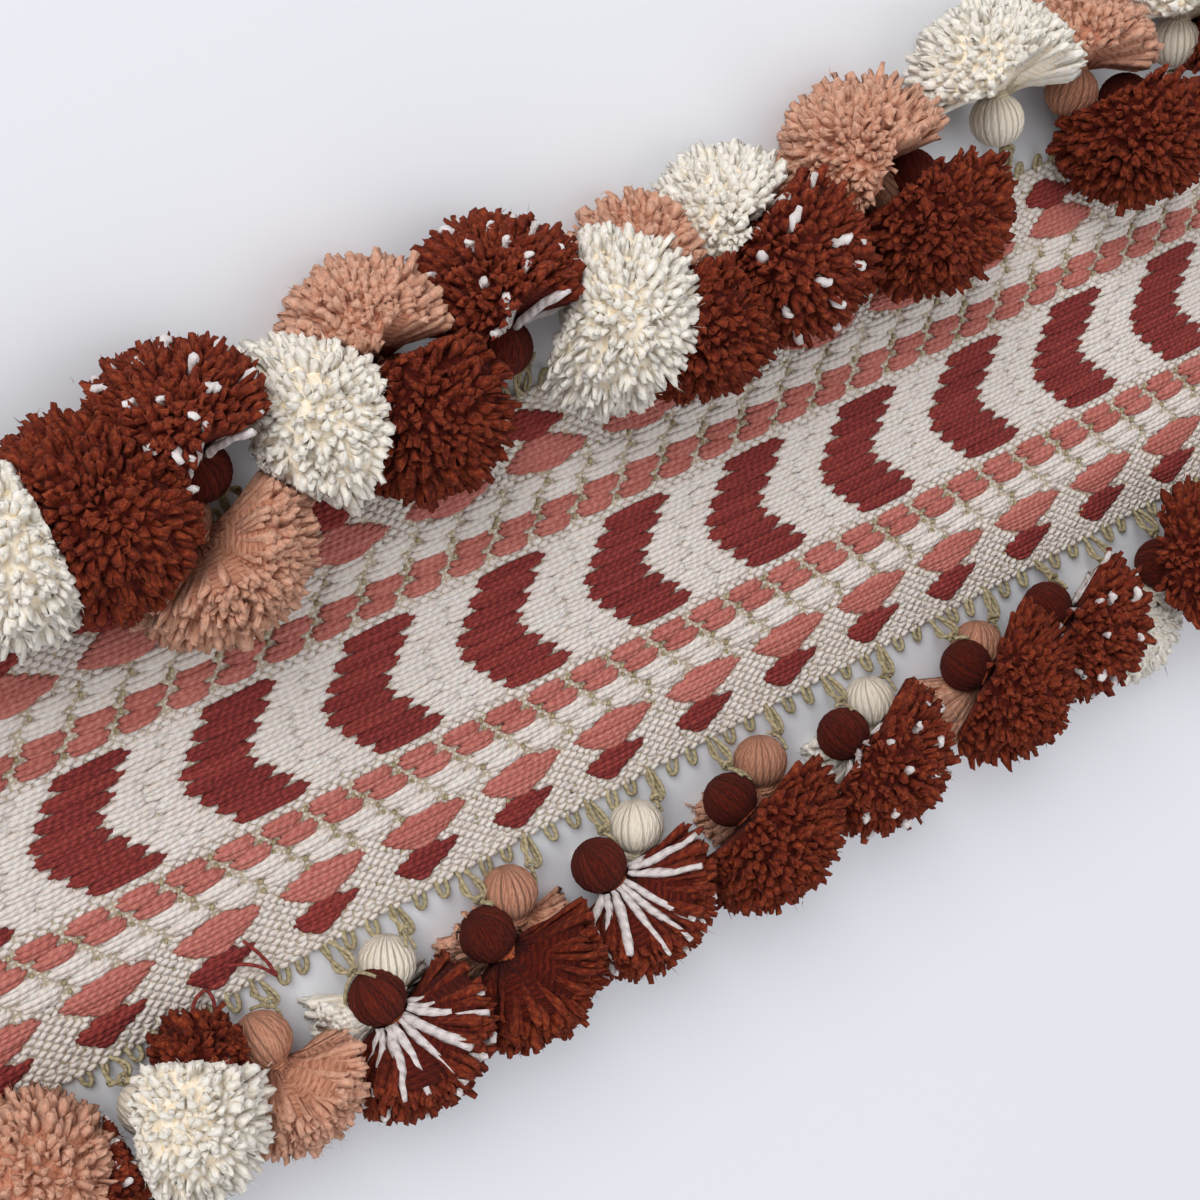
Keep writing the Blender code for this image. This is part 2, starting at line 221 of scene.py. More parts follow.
def build_ground():
    """A closed thin slab, plain on its back, under the floats."""
    along, across = GROUND_CELLS
    xs = np.linspace(-HALF_LENGTH, HALF_LENGTH, along + 1)
    ys = np.linspace(-BAND_WIDTH / 2, BAND_WIDTH / 2, across + 1)
    grid_x, grid_y = np.meshgrid(xs, ys, indexing="ij")
    top = np.stack([grid_x, grid_y, np.full_like(grid_x, GROUND_TOP)], axis=-1).reshape(-1, 3)
    back = top * (1, 1, 0) + (0, 0, GROUND_BACK)
    index = np.arange(len(top)).reshape(along + 1, across + 1)
    quads = np.stack([index[:-1, :-1], index[1:, :-1], index[1:, 1:], index[:-1, 1:]], -1)
    quads = quads.reshape(-1, 4)
    rim = np.concatenate([index[:-1, 0], index[-1, :-1], index[:0:-1, -1], index[0, :0:-1]])
    after = np.roll(rim, -1)
    count = len(top)
    side = np.stack([rim, rim + count, after + count, after], -1)
    return add_piece("woven_ground", np.concatenate([top, back]),
                     [np.concatenate([quads, quads[:, ::-1] + count, side])],
                     [plain_weave("ivory_plain_weave")])


ground = build_ground()
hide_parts("band")


# The jacquard floats
# The pattern is warp that floats over the ground: each rib rises, lies on top for a few
# millimetres and dives again, three ribs to a step of the chart. Chevrons in deep red fill
# the middle, chains of paired rose lozenges run down both sides of it, then a like chain in
# ivory, and outside those slanted rose leaves, each with a smaller deep red one.

REPEAT = 27.0           # one chevron to the next
FIRST_APEX = -5.55      # the first chevron's apex, in repeats from the band's middle
FLOAT_WIDTH = 0.6       # half of a float's width
FLOAT_HEIGHT = 0.48     # half of its thickness
RIBS_PER_STEP = 3
STRAY = 0.07            # how far a rib wanders sideways

# Start and end of the deep red from the apex, for each step out from the middle line
CHEVRON = [(-0.3, 14.4), (1.6, 16.8), (3.7, 19.3), (6.3, 21.5)]
TONGUE = 1.2            # a step's outer ribs end this much sooner
TOOTH = 0.9             # and begin this much later
# Ribs out from the middle line where each zone of the chart begins
BORDER_RIB, BEAD_RIB, BRICK_RIB, LEAF_RIB, EDGE_RIB, LAST_RIB = 12, 14, 20, 26, 39, 42

BEAD_PITCH = REPEAT / 3
BEAD_START = {-1: 1.3, 1: 2.2}    # first lozenge from the apex, front and back side
BEAD_LENGTH = 7.9
BEAD_SHIFT = 2.2        # the outer half of a lozenge lies this much further along
BRICK_START = 5.2
BRICK_SHIFT = 2.5
BRICK_LENGTH = 8.3
ROUND_OFF = 0.65        # a lozenge's outer ribs stop this much short at both ends

LEAF_PITCH = 20.4
LEAF_START = {-1: -45.3, 1: -44.4}
# Start and end of each rib of a leaf from its left tip, from the inside out
ROSE_LEAF = [(4.6, 13.4), (1.4, 16.6), (0.0, 17.4), (0.6, 16.2), (1.6, 14.9), (2.8, 13.3),
             (4.6, 10.8)]
DEEP_LEAF = [(4.0, 10.8), (1.5, 14.2), (0.8, 13.2), (1.3, 11.4), (2.2, 9.6), (3.6, 7.6)]
STITCH = 2.25           # plain weave of the outer field, one rib up and down

# Rings of a float from end to end: place, width, and how far it lies above its crown
LONG_FLOAT = np.array([(0.0, 0.35, -0.85), (0.045, 0.82, -0.25), (0.2, 1.0, 0.0),
                       (0.5, 1.04, 0.08), (0.8, 1.0, 0.0), (0.955, 0.82, -0.25),
                       (1.0, 0.35, -0.85)])
LOZENGE_FLOAT = np.array([(0.0, 0.5, -0.7), (0.08, 0.92, -0.2), (0.33, 1.08, 0.1),
                          (0.67, 1.08, 0.1), (0.92, 0.92, -0.2), (1.0, 0.5, -0.7)])
STITCH_FLOAT = np.array([(0.0, 0.5, -0.45), (0.28, 1.0, 0.0), (0.72, 1.0, 0.0),
                         (1.0, 0.5, -0.45)])

# The warp is lightly mercerised two-ply cotton: matt, soft-edged, the plies' slant showing
# every couple of millimetres, and a fibre grain that runs along it
ivory_cotton = spun_yarn("ivory_cotton_warp", ("#c6b7aa", "#ddd1c7", "#e9dfd7", "#f2ebe4"),
                         3.2, 0.14, 0.12, 0.07, 0.03, soft=0.25)
deep_red_cotton = spun_yarn("deep_red_cotton_warp", ("#3f1011", "#732827", "#943e38", "#b35c50"),
                            3.2, 0.16, 0.14, 0.10, 0.03)
rose_cotton = spun_yarn("rose_cotton_warp", ("#84423a", "#b06258", "#c67c70", "#da9a8f"),
                        3.2, 0.16, 0.14, 0.10, 0.03)


def tube_faces(count, rings, sides):
    """Side quads and end caps of many like tubes, each made of rings of points."""
    index = np.arange(count * rings * sides).reshape(count, rings, sides)
    low, high = index[:, :-1], index[:, 1:]
    quads = np.stack([low, np.roll(low, -1, 2), np.roll(high, -1, 2), high], -1).reshape(-1, 4)
    caps = np.concatenate([index[:, 0, ::-1], index[:, -1]])
    return quads, caps


def tubes(paths, wide, high, upright, sides, lobes=0.0, turns=None):
    """Points of many tubes along paths (count, rings, 3), with their half sizes per ring.

    upright is the way that each tube's height points. lobes swell two opposite sides, and
    turns carries those round along the tube, as the plies of a thread lie.
    """
    run = np.gradient(paths, axis=1)
    run /= np.linalg.norm(run, axis=2, keepdims=True) + 1e-9
    across = np.cross(run, upright[:, None, :])
    across /= np.linalg.norm(across, axis=2, keepdims=True) + 1e-9
    up = np.cross(across, run)
    angle = 2 * np.pi * (np.arange(sides) + 0.5) / sides
    swell = np.ones(paths.shape[:2] + (sides,))
    if turns is not None:
        swell = 1 + lobes * np.cos(2 * (angle[None, None, :] - turns[:, :, None]))
    sideways = swell * np.cos(angle) * wide[:, :, None]
    upward = swell * np.sin(angle) * high[:, :, None]
    return (paths[:, :, None, :] + across[:, :, None, :] * sideways[..., None]
            + up[:, :, None, :] * upward[..., None])


def yarn_facts(paths, sides, own=None, shade_depth=None):
    """What a yarn's finish reads: place round and along it, its own tone, and its depth, which
    sets the painted shade of the yarn.
    """
    count, rings = paths.shape[:2]
    length = np.linalg.norm(np.diff(paths, axis=1), axis=2)
    along = np.concatenate([np.zeros((count, 1)), np.cumsum(length, 1)], 1)[..., None]
    angle = 2 * np.pi * (np.arange(sides) + 0.5) / sides
    about = np.stack(np.broadcast_arrays(np.cos(angle), np.sin(angle), along), -1)
    own = chance.random(count) if own is None else own
    shade_depth = np.ones((1, rings)) if shade_depth is None else shade_depth
    full = (count, rings, sides)
    return {"about": about.reshape(-1, 3),
            "own": np.broadcast_to(own[:, None, None], full).ravel(),
            "shade_depth": np.broadcast_to(shade_depth[:, :, None], full).ravel()}


def rib_place(side, rib):
    return side * (rib + 0.5) * WARP


def lay_floats(name, runs, shape, materials, which, sides=5, crown=1.25, pinch=0.5):
    """Floats along the band. Each run is a rib's Y, a start, an end, a lift, and the Y of the
    line that its ends draw in towards, in mm."""
    runs = np.array(runs, float)
    start = np.clip(runs[:, 1], -HALF_LENGTH, HALF_LENGTH)
    end = np.clip(runs[:, 2], -HALF_LENGTH, HALF_LENGTH)
    keep = end - start > 0.6
    runs, start, end = runs[keep], start[keep], end[keep]
    which = np.asarray(which)[keep]
    count, rings = len(runs), len(shape)
    place, width, rise = shape.T
    draw = pinch * np.abs(2 * place - 1) ** 3
    paths = np.empty((count, rings, 3))
    paths[:, :, 0] = start[:, None] + (end - start)[:, None] * place
    paths[:, :, 1] = runs[:, 0:1] + (runs[:, 4:5] - runs[:, 0:1]) * draw
    paths[:, :, 1] += STRAY * chance.standard_normal((count, rings))
    paths[:, :, 2] = crown + runs[:, 3:4] + rise + 0.05 * chance.standard_normal((count, 1))
    wide = FLOAT_WIDTH * width * (1 + 0.07 * chance.standard_normal((count, rings)))
    high = np.broadcast_to(FLOAT_HEIGHT * width, (count, rings))
    points = tubes(paths, wide, high, np.tile((0.0, 0.0, 1.0), (count, 1)), sides)
    quads, caps = tube_faces(count, rings, sides)
    colour = np.concatenate([np.repeat(which, (rings - 1) * sides), which, which])
    return add_piece(name, points.reshape(-1, 3), [quads, caps], materials,
                     colour, yarn_facts(paths, sides))


def step_line(side, first_rib):
    """The middle line of a step of three ribs."""
    return rib_place(side, first_rib + 1)


def chart_middle():
    """Deep red chevrons, and between them the ivory ribs in two floats that meet unevenly."""
    red, ivory = [], []
    for side in (-1, 1):
        for rib in range(BORDER_RIB):
            step = rib // RIBS_PER_STEP
            begin, stop = CHEVRON[step]
            outer = rib % RIBS_PER_STEP != 1
            y = rib_place(side, rib)
            line = step_line(side, step * RIBS_PER_STEP)
            for number in range(14):
                apex = (FIRST_APEX + number) * REPEAT - REPEAT
                first = apex + begin + (TOOTH if outer else 0.0) + chance.uniform(-0.25, 0.25)
                last = apex + stop - (TONGUE if outer else 0.0) + chance.uniform(-0.2, 0.2)
                red.append((y, first, last, 0.14, line))
                next_first = apex + REPEAT + begin + (TOOTH if outer else 0.0)
                meet = (last + next_first) / 2 + (1.6, -1.2, 1.0, -0.6)[step]
                meet += chance.uniform(-1.4, 1.4)
                ivory.append((y, last - 0.2, meet + 0.3, 0.0, line))
                ivory.append((y, meet - 0.3, next_first + 0.2, 0.0, line))
    return red, ivory


def chart_chain(first_rib, begin, shift, length, lift):
    """One chain of lozenges: an inner and an outer half of three ribs each."""
    runs = []
    for side in (-1, 1):
        for half in (0, 1):
            line = step_line(side, first_rib + RIBS_PER_STEP * half)
            for rib in range(RIBS_PER_STEP):
                short = ROUND_OFF if rib != 1 else 0.0
                y = rib_place(side, first_rib + RIBS_PER_STEP * half + rib)
                for number in range(-3, 39):
                    start = FIRST_APEX * REPEAT + begin[side] + number * BEAD_PITCH + half * shift
                    start += chance.uniform(-0.15, 0.15)
                    bulge = lift + (0.2 if rib == 1 else 0.0)
                    runs.append((y, start + short, start + length - short, bulge, line))
    return runs


def chart_leaves():
    """Rose leaves with a deep red one outside each, and the plain stitches round them."""
    rose, deep, plain = [], [], []
    for first_rib, shape, colour in ((LEAF_RIB, ROSE_LEAF, rose),
                                     (LEAF_RIB + len(ROSE_LEAF), DEEP_LEAF, deep)):
        for row, (begin, stop) in enumerate(shape):
            rib = first_rib + row
            for side in (-1, 1):
                y = rib_place(side, rib)
                middle = rib_place(side, first_rib + (len(shape) - 1) / 2)
                line = y + (middle - y) * 0.35
                bulge = 0.3 - 0.06 * abs(row - (len(shape) - 1) / 2)
                edges = [-HALF_LENGTH]
                for number in range(-8, 12):
                    tip = LEAF_START[side] + number * LEAF_PITCH
                    first = tip + begin + chance.uniform(-0.2, 0.2)
                    last = tip + stop + chance.uniform(-0.2, 0.2)
                    colour.append((y, first, last, bulge, line))
                    edges += [first, last]
                edges.append(HALF_LENGTH)
                for low, high in zip(edges[::2], edges[1::2]):
                    at = math.floor(low / STITCH) * STITCH + STITCH / 2 * (rib % 2)
                    while at < high:
                        first, last = max(at, low), min(at + STITCH - 0.1, high)
                        if last - first > 0.8:
                            plain.append((y, first, last, 0.0, y))
                        at += STITCH
    return rose, deep, plain


def chart_plain(ribs):
    """Ribs of plain weave, up and down all along the band."""
    runs = []
    for side in (-1, 1):
        for rib in ribs:
            y = rib_place(side, rib)
            for number in range(int(2 * HALF_LENGTH / STITCH) + 2):
                start = -HALF_LENGTH - STITCH + number * STITCH + STITCH / 2 * (rib % 2)
                runs.append((y, start, start + STITCH - 0.1, -0.05, y))
    return runs


red_runs, ivory_runs = chart_middle()
rose_leaves, deep_leaves, field_stitches = chart_leaves()
bead_runs = chart_chain(BEAD_RIB, BEAD_START, BEAD_SHIFT, BEAD_LENGTH, 0.25)
brick_runs = chart_chain(BRICK_RIB, {-1: BRICK_START, 1: BRICK_START}, BRICK_SHIFT,
                         BRICK_LENGTH, 0.1)
border_stitches = chart_plain([*range(BORDER_RIB, BEAD_RIB), *range(EDGE_RIB, LAST_RIB)])

middle_floats = lay_floats(
    "chevron_floats", red_runs + ivory_runs, LONG_FLOAT, [deep_red_cotton, ivory_cotton],
    [0] * len(red_runs) + [1] * len(ivory_runs), pinch=0.4)
chain_floats = lay_floats(
    "lozenge_chains", bead_runs + brick_runs, LOZENGE_FLOAT, [rose_cotton, ivory_cotton],
    [0] * len(bead_runs) + [1] * len(brick_runs), pinch=0.15)
leaf_floats = lay_floats(
    "leaf_floats", rose_leaves + deep_leaves, LOZENGE_FLOAT, [rose_cotton, deep_red_cotton],
    [0] * len(rose_leaves) + [1] * len(deep_leaves), pinch=0.7)
stitches = field_stitches + border_stitches
plain_stitches = lay_floats("plain_stitches", stitches, STITCH_FLOAT, [ivory_cotton],
                            [0] * len(stitches), sides=4, crown=1.15)


# The khaki ties
# Khaki weft binds the floats down. It comes up for a rib or two in the necks between two
# lozenges, and as small specks among the plain stitches, and shows there as short dashes.

TIE_SIZE = 0.42         # half of the weft's width

# Fine two-ply cotton, unbleached: a dull grey-brown khaki with a dry, slightly hairy surface
khaki_cotton = spun_yarn("khaki_cotton_weft", ("#7a6c50", "#9c8e6e", "#b3a582", "#c9bc9a"),
                         3.0, 0.08, 0.10, 0.12, 0.03)


def lay_ties():
    """Short arched stitches across the ribs, in the necks of the chains and in the field."""
    ties = []
    for side in (-1, 1):
        for first_rib, begin, shift, length in (
                (BEAD_RIB, BEAD_START[side], BEAD_SHIFT, BEAD_LENGTH),
                (BRICK_RIB, BRICK_START, BRICK_SHIFT, BRICK_LENGTH)):
            for half in (0, 1):
                for number in range(-3, 39):
                    neck = FIRST_APEX * REPEAT + begin + half * shift + number * BEAD_PITCH
                    neck += (length - BEAD_PITCH) / 2
                    rib = first_rib + RIBS_PER_STEP * half
                    for place, size in ((0.5, 0.35), (2.5, 0.3)):
                        if chance.random() < 0.6:
                            ties.append((neck, rib_place(side, rib + place), size, 0.5))
        for number in range(-8, 12):
            for _ in range(6):
                x = LEAF_START[side] + number * LEAF_PITCH + chance.uniform(-4.5, 4.5)
                rib = LEAF_RIB + int(chance.integers(0, 12))
                ties.append((x, rib_place(side, rib + 0.5), 0.35, 0.34))
    ties = np.array([t for t in ties if abs(t[0]) < HALF_LENGTH - 1.0])
    count = len(ties)
    part = np.linspace(-1, 1, 4)
    paths = np.empty((count, 4, 3))
    paths[:, :, 0] = ties[:, 0:1] + 0.25 * chance.standard_normal((count, 1)) + 0.2 * part
    paths[:, :, 1] = ties[:, 1:2] + ties[:, 2:3] * part
    paths[:, :, 2] = GROUND_TOP - 0.1 + ties[:, 3:4] * (1 - part ** 2)
    size = np.broadcast_to(TIE_SIZE * (1 - 0.3 * part ** 2), (count, 4))
    points = tubes(paths, size, size * 0.9, np.tile((0.0, 0.0, 1.0), (count, 1)), 4)
    return add_piece("khaki_ties", points.reshape(-1, 3), tube_faces(count, 4, 4),
                     [khaki_cotton], None, yarn_facts(paths, 4))


ties = lay_ties()


# The tassels' places
# Every long loop of the braid carries a tassel of cotton knitting yarn, tied on by hand. They
# fell every way when the trim was laid down: the front ones lean out over two layers, and the
# back ones are heaped over the band's edge.

PITCH = 13.865          # one tassel to the next along the braid
FIRST = {-1: -150.0, 1: -155.0}     # where the first one hangs, on the front and back side
BRAID_OUTER = 39.6      # where the long loops leave the braid, across the band
BRAID_MIDDLE = 0.75     # height of the braid's thread
BALL = 5.0              # radius of a head
WAIST = 4.7             # from the ball's centre to the waist
KNOT_LIFT = 5.0         # how far above the loop's line the knot pulls
KNOT_GAP = 1.1          # from the ball to the knot
HEART = 0.45            # middle of a skirt's bulk, as a part of its radius from the waist
NEIGHBOURS = 4          # tassels on each side that one can touch
LYING = 32.0            # a skirt that rises less than this lies on its side and falls open
FREE = 40.0             # height of a skirt that nothing lies on

# Each row is a yarn, the ball's place along and out from the loop's root, its height, the turn
# and rise of the skirt's axis in degrees, the skirt's radius, and how high it may stand
FRONT_ROWS = [
    ("peach", 4, 8, 6.5, 20, 45, 15, FREE), ("fleck", 1, 8, 5, -60, 66, 12, FREE),
    ("cream", 2, 6, 7, -30, 60, 16, FREE), ("rust", -4, 6, 5, 66, 45, 9, FREE),
    ("peach", -4, 5.5, 7, -85, 20, 15, FREE), ("fleck", 3, 8, 8.5, -72, 8, 17, FREE),
    ("cream", -6, 5, 5, -110, 2, 14, 9), ("rust", -1.8, 8, 8, -66, 8, 17, FREE),
    ("peach", -8, 4.5, 5, -95, 2, 16, 9), ("fleck", -5, 6.6, 8, -66, 12, 17, FREE),
    ("cream", -8, 5, 5, -100, 2, 14, 9), ("rust", -3.2, 7.8, 8, -72, 36, 17, FREE),
    ("peach", -7, 5.5, 5, -100, 2, 14, 9), ("fleck", -3.2, 7.5, 7.5, -60, 38, 16, FREE),
    ("cream", -8, 5.5, 5, -100, 2, 14, 9), ("rust", 0, 7, 8, -48, 45, 16.5, FREE),
    ("peach", -8, 6, 5, -100, 2, 15, 9), ("fleck", -5, 4.5, 7.5, -55, 42, 15.5, FREE),
    ("cream", -1, 9, 5, -70, 15, 15, 14), ("rust", -3, 7.5, 8.5, 10, 60, 15.5, FREE),
    ("peach", -3, 9, 5, -90, 50, 12, FREE), ("fleck", -4, 9, 9, -55, 66, 16, FREE),
    ("cream", -1, 9, 5, -60, 50, 12, FREE),
]
BACK_ROWS = [
    ("rust", 0, 9, 7, 80, 50, 15, FREE), ("peach", 0, 9, 8, 85, 30, 14, FREE),
    ("fleck", 0, 9, 8, 91, 38, 15, FREE), ("cream", -3, 10, 9, 39, 58, 15, FREE),
    ("rust", 2.5, 9.5, 9, 120, 60, 17, FREE), ("peach", 1, 4.5, 9, -60, 30, 17, FREE),
    ("fleck", -8, 11, 11, 110, 20, 17, FREE), ("cream", -2.5, 9, 8, 80, 62, 15.5, FREE),
    ("peach", -1, 12, 9, 96, 8, 16, FREE), ("rust", -6, 8.5, 9, 178, 34, 17, FREE),
    ("fleck", -6.5, 10, 10, 88, 14, 17, FREE), ("cream", -2, 9, 8, 0, 85, 16.5, FREE),
    ("peach", -4, 9, 6, 89, 34, 13, FREE), ("rust", -11, 8, 9, -120, 40, 16.5, FREE),
    ("cream", -9, 10, 8, 135, 14, 14.5, FREE), ("fleck", -15, 9.5, 9.5, 200, 36, 17, FREE),
    ("peach", -7, 9, 8, 115, 14, 16.5, FREE), ("rust", -15, 10, 11, -108, 34, 17, FREE),
    ("cream", -6, 13, 10, 84, 5, 17, FREE), ("peach", 0, 12, 9, 71, 10, 15, FREE),
    ("rust", -2, 7, 10, -118, 38, 16, FREE), ("cream", 1, 13, 8, 75, 12, 15, FREE),
    ("rust", -1, 9, 6, 102, 42, 14, FREE),
]


def unit(vector):
    return vector / np.linalg.norm(vector)


def hang(side, number, row):
    """One tassel's points and directions, in millimetres from the band's underside."""
    yarn, along, out, lift, turn, rise, radius, top = row
    lying = rise < LYING
    turn, rise = math.radians(turn), math.radians(rise)
    axis = np.array([math.cos(rise) * math.cos(turn), math.cos(rise) * math.sin(turn),
                     math.sin(rise)])
    root = np.array([FIRST[side] + PITCH * number, side * BRAID_OUTER, BRAID_MIDDLE])
    ball = np.array([root[0] + along, side * (BRAID_OUTER + out), lift])
    pull = unit(root - ball + np.array([0, 0, KNOT_LIFT]))
    name = "%s_%02d" % ("front" if side < 0 else "back", number + 1)
    return SimpleNamespace(
        yarn=yarn, side=side, number=number, name=name, radius=radius, root=root, ball=ball,
        axis=axis, waist=ball + axis * WAIST, heart=ball + axis * (WAIST + HEART * radius),
        knot=ball + pull * (BALL + KNOT_GAP), top=top, lying=lying)


tassels = {side: [hang(side, number, row) for number, row in enumerate(rows)]
           for side, rows in ((-1, FRONT_ROWS), (1, BACK_ROWS))}


# The skirts
# A skirt is a hank of soft two-ply cotton knitting yarn, tied at the waist and trimmed to
# half a pompom. Each cut end opens into a blunt brush, the skirts press each other flat
# where they meet, and those that lie on the table or on the band rest on it.

YARNS_PER_AREA = 2.6    # strands of a skirt for each square millimetre of radius squared
# Rings of a strand from the waist to its end, each a place and a half thickness. A strand
# nearer to the axis than the face angle shows only its outer part
SIDE_STRAND = np.array([(0.0, 0.36), (0.5, 0.72), (0.93, 0.95), (1.0, 0.55)])
FACE_STRAND = np.array([(0.6, 0.70), (0.92, 0.98), (1.0, 0.55)])
FACE_ANGLE = {False: 60.0, True: 35.0}      # of a skirt that stands up, and of one that lies
FAN_HEIGHT = 0.5        # how far a lying skirt opens upwards, as a part of its full spread
FILL = 0.87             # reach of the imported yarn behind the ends, as a part of the radius
FILL_ANGLES = np.radians([3, 18, 33, 48, 62, 75, 86])
FILL_SIDES = 24
FILL_SHADE = 0.35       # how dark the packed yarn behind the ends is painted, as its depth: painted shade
NECK = 1.9              # radius of the hank at the waist
SPREAD = 89.0           # widest strand from the axis, in degrees
TRIM = 0.035            # unevenness of the trimming, as a part of the radius
PRESS_GAP = 0.2         # between two skirts that press each other
LOOP_ROOM = 1.6         # half width of a long loop, which no strand enters
BAND_TOP = 2.3          # height that strands keep over the band
WHITE_OUTSIDE = 9       # white strands round a flecked skirt's outside
WHITE_FACE = 20         # and leaning over its cut ends
WHITE_PARTS = np.linspace(0, 1, 8)
WHITE_LAY = 4.4         # one turn of the white yarn's plies
FUZZ = 300              # loose fibres of a skirt
FUZZ_SIZE = 0.06        # half thickness of a loose fibre's root: several stuck together


# Soft cotton knitting yarn, brushed open where it is cut: no gloss at all, fibres along
# it, pale at the ends, and painted darker and warmer towards the waist as painted shade, where
# light only gets in through the yarn
YARNS = {
    "cream": spun_yarn("cream_pompom_yarn", ("#e8cb9a", "#fdefd8", "#fff9ee", "#fffdf8"),
                       5.0, 0.12, 0.25, 0.03, 0.03, crumb=0.10, deep=0.35),
    "peach": spun_yarn("peach_pompom_yarn", ("#84432e", "#c88b6f", "#e0a98d", "#efc3aa"),
                       5.0, 0.12, 0.25, 0.05, 0.03, crumb=0.12, deep=0.45),
    "rust": spun_yarn("rust_pompom_yarn", ("#2c0402", "#541408", "#7b2c16", "#ab502d"),
                      5.0, 0.12, 0.3, 0.08, 0.02, crumb=0.22, deep=0.5),
    "fleck": spun_yarn("flecked_pompom_yarn", ("#300604", "#58170c", "#802f1a", "#ab522f"),
                       5.0, 0.12, 0.3, 0.08, 0.02, crumb=0.22, deep=0.5),
}
white_fleck = spun_yarn("white_fleck_yarn", ("#a5938d", "#d2c8c4", "#e4dcda", "#f1ecea"),
                        WHITE_LAY, 0.2, 0.15, 0.04, 0.03, crumb=0.05, deep=0.2)


def meeting_planes(tassel, others):
    """Where this skirt meets each neighbour's: a normal and the distance it may reach."""
    planes = []
    for other in others:
        away = other.heart - tassel.heart
        apart = np.linalg.norm(away)
        if other is tassel or apart > tassel.radius + other.radius:
            continue
        normal = away / apart
        share = (apart ** 2 + tassel.radius ** 2 - other.radius ** 2) / (2 * apart)
        meet = normal @ tassel.heart + share
        meet = max(meet, normal @ tassel.waist + 2.0)
        meet = min(meet, normal @ other.waist - 2.0)
        planes.append((normal, meet - PRESS_GAP / 2))
    if tassel.top < FREE:   # a tassel under others stays outside the selvedge
        planes.append((np.array([0.0, -tassel.side, 0.0]), 2 * PRESS_GAP - BRAID_OUTER))
    return planes


def press(points, size, tassel, others, planes):
    """Push a skirt's points back to the meeting planes, off the balls, loops, floor and band.

    points is (strands, rings, 3), and size the half thickness that needs room, (rings,).
    """
    for _ in range(2):
        for normal, limit in planes:
            over = points @ normal - limit + size * 0.6
            points -= np.maximum(over, 0)[..., None] * normal
        low_top = tassel.top * 0.6
        over = np.maximum(points[..., 2] - low_top, 0)
        points[..., 2] -= over - (tassel.top - low_top) * (1 - np.exp(-over / tassel.top / 0.4))
        for other in others:
            away = points - other.ball
            far = np.linalg.norm(away, axis=-1)
            short = np.maximum(BALL + size * 0.7 - far, 0)
            points += away / (far + 1e-9)[..., None] * short[..., None]
            if other is tassel:
                continue
            run = other.knot - other.root
            part = np.clip(((points - other.root) @ run) / (run @ run), 0, 1)
            away = points - (other.root + part[..., None] * run)
            far = np.linalg.norm(away, axis=-1)
            short = np.maximum(LOOP_ROOM + size * 0.4 - far, 0)
            points += away / (far + 1e-9)[..., None] * short[..., None]
        over_band = np.abs(points[..., 1]) < BRAID_OUTER + 1.2
        rest = np.where(over_band, BAND_TOP, 0.0) + size * 0.9
        points[..., 2] = np.maximum(points[..., 2], rest)
    return points


def strand_ways(count, spread):
    """Even directions over a cap, as (count, 3) in the skirt's own axes."""
    number = np.arange(count) + 0.5
    level = 1 - number / count * (1 - math.cos(math.radians(spread)))
    level += chance.uniform(-0.8, 0.8, count) / count
    level = np.clip(level, -1, 1)
    spin = number * math.pi * (3 - math.sqrt(5)) + chance.uniform(-0.12, 0.12, count)
    flat = np.sqrt(1 - level ** 2)
    return np.stack([flat * np.cos(spin), flat * np.sin(spin), level], -1)


def lay_open(tassel, ways):
    """A skirt that lies down falls open to both sides, like a fan, and stays low."""
    if not tassel.lying:
        return ways
    flat = np.hypot(ways[..., 0], ways[..., 1]) + 1e-9
    polar = np.arctan2(flat, ways[..., 2])
    polar = polar * (FAN_HEIGHT + (1 - FAN_HEIGHT) * np.abs(ways[..., 0]) / flat)
    return np.stack([np.sin(polar) * ways[..., 0] / flat, np.sin(polar) * ways[..., 1] / flat,
                     np.cos(polar)], -1)


def own_axes(axis):
    """Two directions across an axis, and the axis, as the rows of a matrix."""
    side = unit(np.cross(axis, (0.0, 0.0, 1.0) if abs(axis[2]) < 0.9 else (1.0, 0.0, 0.0)))
    return np.stack([side, np.cross(axis, side), axis])


def strand_paths(tassel, ways, parts, reach, proud=0.0):
    """Each strand leaves the waist along the axis and bends out to its own place."""
    axes = own_axes(tassel.axis)
    outward = ways @ axes
    level = ways[:, 2:3]
    across = (ways * (1.0, 1.0, 0.0)) @ axes
    start = tassel.waist + across * (NECK + proud) - tassel.axis * 0.6
    tip = tassel.waist + outward * reach[:, None]
    bend = tassel.waist + across * (NECK + 0.6 + proud) + tassel.axis * (
        tassel.radius * (0.10 + 0.3 * np.clip(level, 0, 1)))
    part = parts[None, :, None]
    paths = ((1 - part) ** 2 * start[:, None] + 2 * part * (1 - part) * bend[:, None]
             + part ** 2 * tip[:, None])
    count = len(ways)
    paths += chance.standard_normal((count, 1, 3)) * 0.55 * part ** 2
    paths += chance.standard_normal((count, len(parts), 3)) * 0.22 * part
    return paths, outward


def gather(parts):
    """Join sets of points, faces, materials and facts into one."""
    faces, order, start = {}, {}, 0
    for part in parts:
        for group in part.faces:
            size = group.shape[1]
            faces.setdefault(size, []).append(group + start)
            order.setdefault(size, []).append(np.full(len(group), part.material))
        start += len(part.points)
    sizes = sorted(faces)
    groups = [np.concatenate(faces[size]) for size in sizes]
    which = np.concatenate([np.concatenate(order[size]) for size in sizes])
    facts = {key: np.concatenate([part.facts[key] for part in parts]) for key in parts[0].facts}
    return np.concatenate([part.points for part in parts]), groups, which, facts


